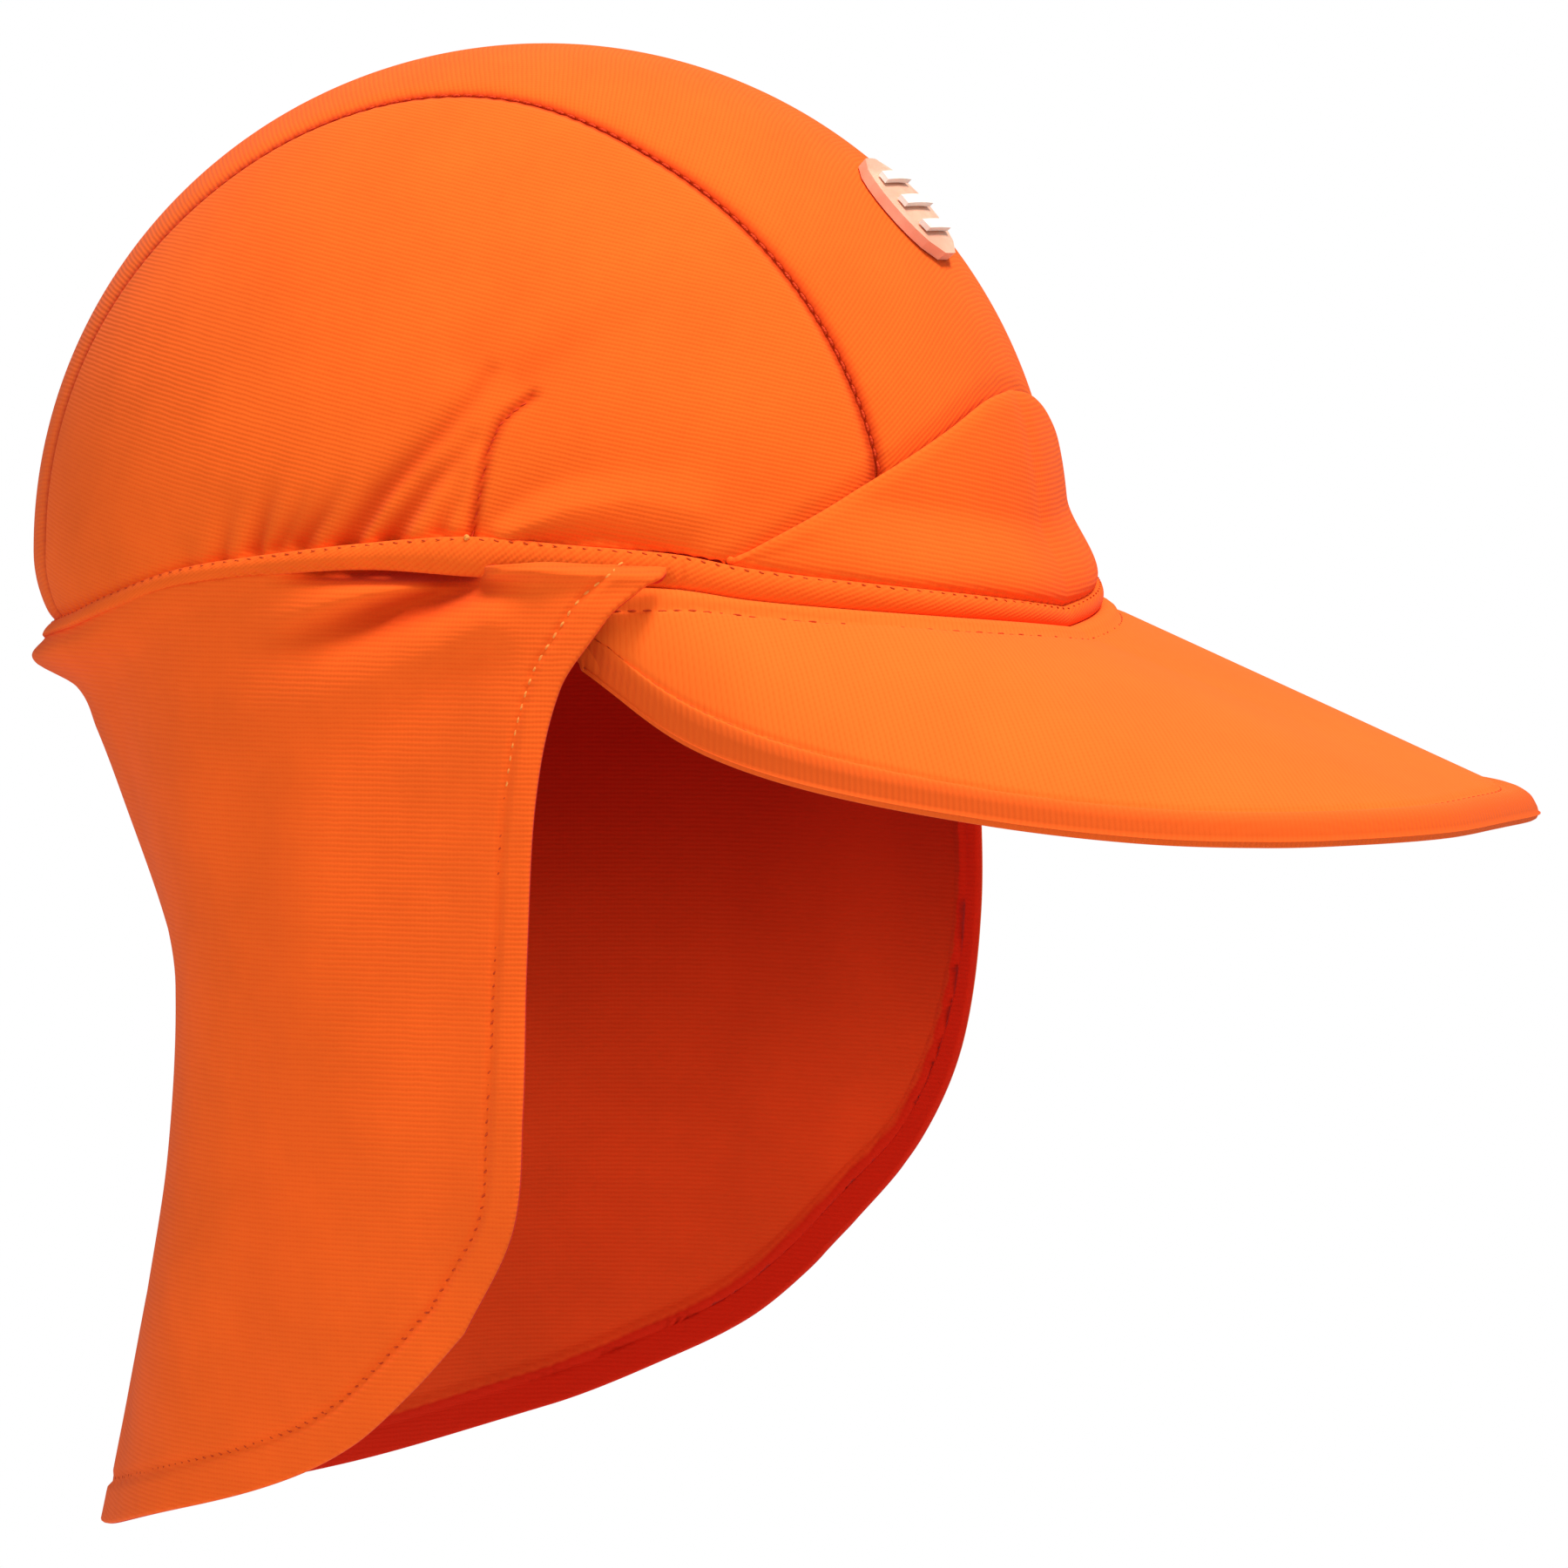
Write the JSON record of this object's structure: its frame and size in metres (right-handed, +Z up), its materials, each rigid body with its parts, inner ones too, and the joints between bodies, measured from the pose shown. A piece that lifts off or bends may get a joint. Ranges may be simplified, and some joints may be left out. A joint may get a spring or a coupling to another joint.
{
  "type": "legionnaire cap",
  "caption": "Child's legionnaire sun cap in stretch knit: dome crown of three panels, pointed forehead panel, narrow headband, rolled-edge peak, hemmed neck flap and plain ribbed badge.",
  "frame": {"origin": "middle of the head opening at the level of the brow, where the cap sits on a head", "axes": "+Z up, the wearer looks along -Y, the wearer's right side is -X"},
  "size_m": [0.1523, 0.2518, 0.2466],
  "materials": {
    "crown": "fine stretch knit, matt",
    "peak": "fine stretch knit over a thin pad, matt",
    "flap": "fine stretch knit, matt",
    "plate": "moulded, satin",
    "rib": "moulded, satin"
  },
  "bodies": {
    "root": {"crown_side_right": "crown", "crown_side_left": "crown", "crown_centre": "crown", "forehead_panel": "crown", "headband": "crown", "peak": "peak", "neck_flap": "flap", "badge_plate": "plate", "badge_rib_1": "rib", "badge_rib_2": "rib", "badge_rib_3": "rib"}
  },
  "joints": []
}
